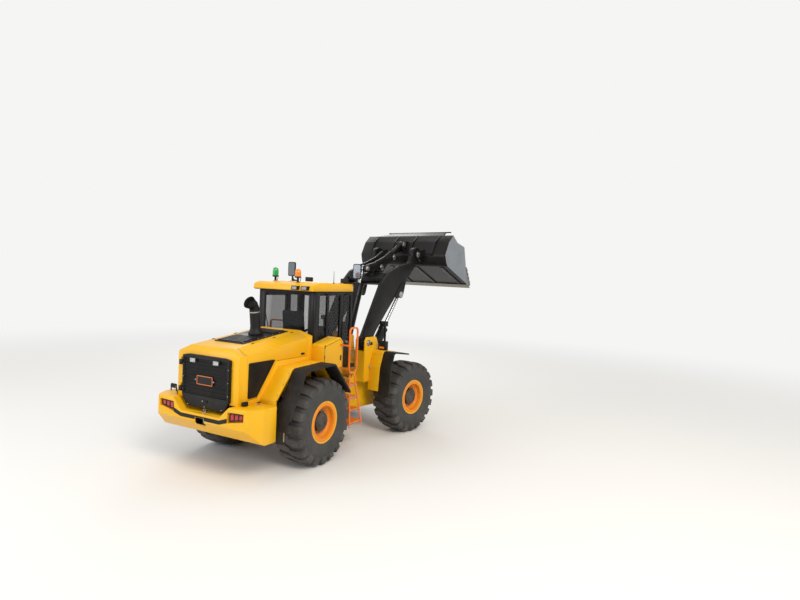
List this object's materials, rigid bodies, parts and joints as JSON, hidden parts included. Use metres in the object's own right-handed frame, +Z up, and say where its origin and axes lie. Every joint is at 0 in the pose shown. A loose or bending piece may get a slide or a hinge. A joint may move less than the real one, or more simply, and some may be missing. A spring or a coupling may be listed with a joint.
{
  "type": "wheel loader",
  "caption": "Articulated wheel loader with raised boom and tipping bucket, glazed cab, lifting side covers and steps, for digging and loading loose material.",
  "frame": {"origin": "centre of the overall bounding box's base, on the ground", "axes": "+X forward along the rear frame, +Y to the machine's left, +Z up"},
  "size_m": [7.411, 3.3774, 4.7482],
  "materials": {
    "yellow_paint": "glossy yellow paint",
    "black_paint": "satin black paint",
    "rim_paint": "glossy orange-yellow paint",
    "cast_grey": "painted casting",
    "tyre": "dusty rubber",
    "rubber": "moulded rubber",
    "glass": "tinted glass",
    "lamp": "clear lens",
    "tail_lens": "red lens",
    "beacon_lens": "amber lens",
    "plastic": "textured plastic",
    "cushion": "woven cloth",
    "chrome": "polished rod",
    "worn_steel": "worn steel"
  },
  "bodies": {
    "rear_frame": {"rear_chassis": "yellow_paint", "counterweight": "yellow_paint", "tow_pin": "worn_steel", "tail_lamps": "tail_lens", "rear_axle": "cast_grey", "engine_block": "cast_grey", "hood_frame": "yellow_paint", "hood_louvre": "plastic", "exhaust_stack": "black_paint", "rear_fenders": "yellow_paint", "rear_fender_rubbers": "rubber", "side_boxes": "yellow_paint", "steps": "yellow_paint", "handrails": "rim_paint", "cab_floor": "black_paint", "cab_rear_frame": "black_paint", "cab_front_frame": "black_paint", "cab_sides": "black_paint", "cab_glass": "glass", "windscreen": "glass", "cab_roof": "yellow_paint", "roof_lamps": "lamp", "beacons": "beacon_lens", "mirrors": "plastic", "seat": "cushion", "steering_column": "plastic", "dash_panel": "plastic"},
    "hood_door_left": {"hood_door_left": "yellow_paint", "side_grille_left": "plastic"},
    "hood_door_right": {"hood_door_right": "yellow_paint", "side_grille_right": "plastic"},
    "grille_door": {"grille_door": "black_paint"},
    "cab_door": {"cab_door": "black_paint", "cab_door_glass": "glass"},
    "wheel_rear_left": {"tyre_rear_left": "tyre", "rim_rear_left": "rim_paint"},
    "wheel_rear_right": {"tyre_rear_right": "tyre", "rim_rear_right": "rim_paint"},
    "front_frame": {"front_chassis": "yellow_paint", "front_axle": "cast_grey", "front_fenders": "yellow_paint", "front_fender_rubbers": "rubber", "head_lamps": "plastic"},
    "wheel_front_left": {"tyre_front_left": "tyre", "rim_front_left": "rim_paint"},
    "wheel_front_right": {"tyre_front_right": "tyre", "rim_front_right": "rim_paint"},
    "steering_barrel_left": {"steering_barrel_left": "black_paint"},
    "steering_rod_left": {"steering_rod_left": "chrome"},
    "steering_barrel_right": {"steering_barrel_right": "black_paint"},
    "steering_rod_right": {"steering_rod_right": "chrome"},
    "boom": {"boom": "black_paint"},
    "lift_barrels": {"lift_barrels": "black_paint"},
    "lift_rods": {"lift_rods": "chrome"},
    "bellcrank": {"bellcrank": "black_paint"},
    "bucket_link": {"bucket_link": "black_paint"},
    "tilt_barrel": {"tilt_barrel": "black_paint"},
    "tilt_rod": {"tilt_rod": "chrome"},
    "bucket": {"bucket": "black_paint", "bucket_edge": "worn_steel"}
  },
  "joints": [
    {"name": "steering", "type": "hinge", "parent": "rear_frame", "child": "front_frame", "pos_m": [-0.30547, 0.32867, 0.84825], "axis": [0, 0, 1], "range_deg": [-30, 50]},
    {"name": "rear_wheel_spin_left", "type": "hinge", "parent": "rear_frame", "child": "wheel_rear_left", "pos_m": [-1.95547, 1.38367, 0.79825], "axis": [0, 1, 0], "continuous": true},
    {"name": "front_wheel_spin_left", "type": "hinge", "parent": "front_frame", "child": "wheel_front_left", "pos_m": [1.50266, 1.08112, 0.79825], "axis": [0.1736, 0.9848, 0], "continuous": true},
    {"name": "rear_wheel_spin_right", "type": "hinge", "parent": "rear_frame", "child": "wheel_rear_right", "pos_m": [-1.95547, -0.72633, 0.79825], "axis": [0, 1, 0], "continuous": true},
    {"name": "front_wheel_spin_right", "type": "hinge", "parent": "front_frame", "child": "wheel_front_right", "pos_m": [1.13626, -0.99682, 0.79825], "axis": [0.1736, 0.9848, 0], "continuous": true},
    {"name": "hood_left_lift", "type": "hinge", "parent": "rear_frame", "child": "hood_door_left", "pos_m": [-3.36547, 0.79867, 2.21798], "axis": [0.9925, 0, 0.1219], "range_deg": [0, 75]},
    {"name": "hood_right_lift", "type": "hinge", "parent": "rear_frame", "child": "hood_door_right", "pos_m": [-3.36547, -0.14133, 2.21798], "axis": [-0.9925, 0, -0.1219], "range_deg": [0, 75]},
    {"name": "grille_swing", "type": "hinge", "parent": "rear_frame", "child": "grille_door", "pos_m": [-3.61747, 0.92867, 1.69825], "axis": [0, 0, -1], "range_deg": [0, 110]},
    {"name": "cab_door_swing", "type": "hinge", "parent": "rear_frame", "child": "cab_door", "pos_m": [-1.52047, 1.04867, 2.39825], "axis": [0, 0, 1], "range_deg": [0, 88]},
    {"name": "boom_lift", "type": "hinge", "parent": "front_frame", "child": "boom", "pos_m": [0.3642, 0.21059, 2.04825], "axis": [-0.1736, -0.9848, 0], "range_deg": [-88, 3]},
    {"name": "bucket_tilt", "type": "hinge", "parent": "boom", "child": "bucket", "pos_m": [2.07776, -0.09156, 4.11825], "axis": [0.1736, 0.9848, 0], "range_deg": [-130, 20]},
    {"name": "bellcrank_swing", "type": "hinge", "parent": "boom", "child": "bellcrank", "pos_m": [1.3687, 0.03347, 3.75825], "axis": [0.1736, 0.9848, 0], "range_deg": [-8, 46]},
    {"name": "bucket_link_swing", "type": "hinge", "parent": "bucket", "child": "bucket_link", "pos_m": [2.25503, -0.12282, 4.37325], "axis": [0.1736, 0.9848, 0], "range_deg": [-9, 56]},
    {"name": "lift_barrels_swing", "type": "hinge", "parent": "front_frame", "child": "lift_barrels", "pos_m": [0.46268, 0.19322, 1.49825], "axis": [-0.1736, -0.9848, 0], "range_deg": [-87, 4]},
    {"name": "lift_rods_slide", "type": "slide", "parent": "lift_barrels", "child": "lift_rods", "axis": [0.5404, -0.0953, 0.836], "range_m": [-0.776, 0.028]},
    {"name": "tilt_barrel_swing", "type": "hinge", "parent": "front_frame", "child": "tilt_barrel", "pos_m": [0.45283, 0.19496, 2.10225], "axis": [-0.1736, -0.9848, 0], "range_deg": [-94, 4]},
    {"name": "tilt_rod_slide", "type": "slide", "parent": "tilt_barrel", "child": "tilt_rod", "axis": [0.2575, -0.0454, 0.9652], "range_m": [-0.058, 0.363]},
    {"name": "steering_barrel_left_swing", "type": "hinge", "parent": "rear_frame", "child": "steering_barrel_left", "pos_m": [-1.16547, 0.72867, 0.84825], "axis": [0, 0, 1], "range_deg": [-8, 13]},
    {"name": "steering_rod_left_slide", "type": "slide", "parent": "steering_barrel_left", "child": "steering_rod_left", "axis": [0.9987, -0.0505, 0], "range_m": [-0.342, 0.206]},
    {"name": "steering_barrel_right_swing", "type": "hinge", "parent": "rear_frame", "child": "steering_barrel_right", "pos_m": [-1.16547, -0.07133, 0.84825], "axis": [0, 0, 1], "range_deg": [-8, 13]},
    {"name": "steering_rod_right_slide", "type": "slide", "parent": "steering_barrel_right", "child": "steering_rod_right", "axis": [0.9993, -0.0365, 0], "range_m": [-0.206, 0.342]}
  ],
  "couplings": [
    {"joint": "bellcrank_swing", "follows": "bucket_tilt", "ratio": -0.3454},
    {"joint": "bucket_link_swing", "follows": "bucket_tilt", "ratio": -0.42},
    {"joint": "lift_barrels_swing", "follows": "boom_lift", "ratio": 0.972},
    {"joint": "lift_rods_slide", "follows": "boom_lift", "m_per_rad": 0.504},
    {"joint": "tilt_barrel_swing", "follows": "boom_lift", "ratio": 1.0515},
    {"joint": "tilt_rod_slide", "follows": "bucket_tilt", "m_per_rad": -0.159},
    {"joint": "steering_barrel_left_swing", "follows": "steering", "ratio": 0.2496},
    {"joint": "steering_rod_left_slide", "follows": "steering", "m_per_rad": -0.3899},
    {"joint": "steering_barrel_right_swing", "follows": "steering", "ratio": 0.2493},
    {"joint": "steering_rod_right_slide", "follows": "steering", "m_per_rad": 0.3899}
  ]
}
